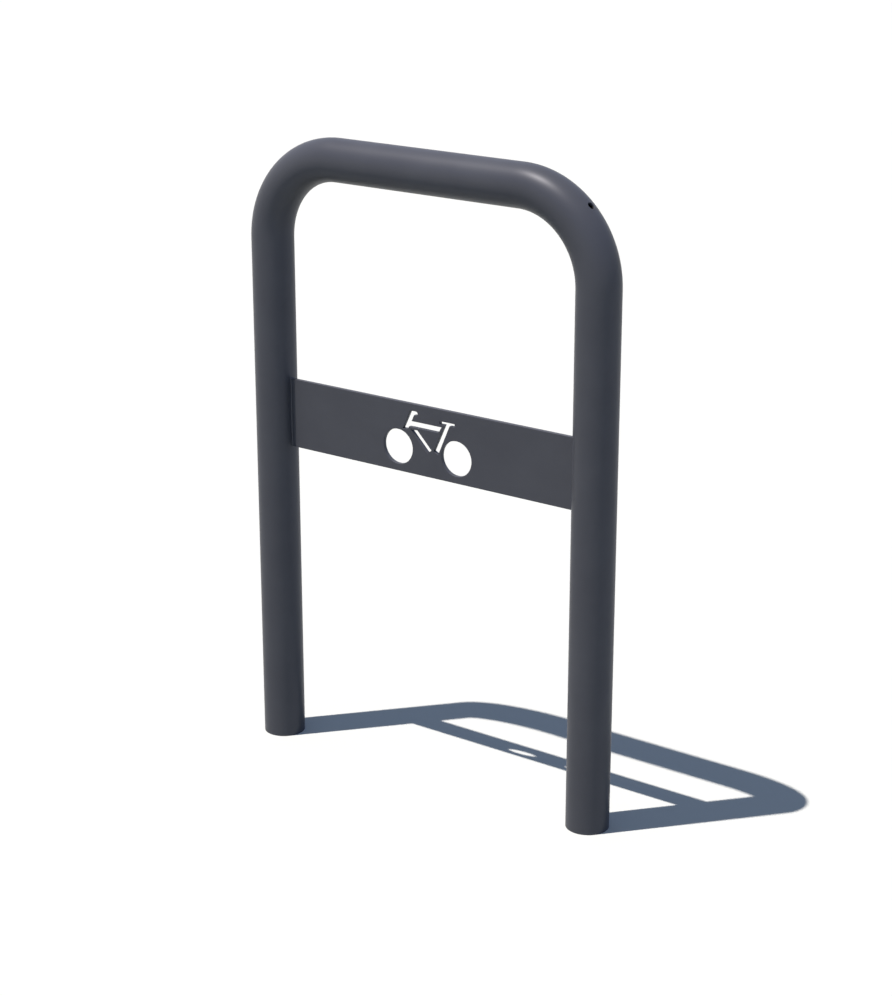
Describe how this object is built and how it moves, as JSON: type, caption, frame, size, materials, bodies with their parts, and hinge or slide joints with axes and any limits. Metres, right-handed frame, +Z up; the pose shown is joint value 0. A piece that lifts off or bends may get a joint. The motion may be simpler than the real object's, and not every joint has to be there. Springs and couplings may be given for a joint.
{
  "type": "hoop bike rack",
  "caption": "Bent round-tube hoop with a flat cross plate that has a bicycle symbol cut through it, and open legs with anchor bars for casting into the ground.",
  "frame": {"origin": "at ground level, midway between the two legs' axes; the legs go on 0.3 m below it, into the footing", "axes": "+Z up, +X along the hoop towards the leg whose bend has the vent hole, +Y to the back, square to the cross plate"},
  "size_m": [0.6, 0.16, 1.2],
  "materials": {
    "powder_coat": "half-gloss anthracite powder coat on galvanized steel"
  },
  "bodies": {
    "root": {"hoop_tube": "powder_coat", "cross_plate": "powder_coat", "plate_weld_left": "powder_coat", "plate_weld_right": "powder_coat", "anchor_bar_left": "powder_coat", "anchor_bar_right": "powder_coat", "anchor_weld_left_front": "powder_coat", "anchor_weld_left_back": "powder_coat", "anchor_weld_right_front": "powder_coat", "anchor_weld_right_back": "powder_coat"}
  },
  "joints": []
}
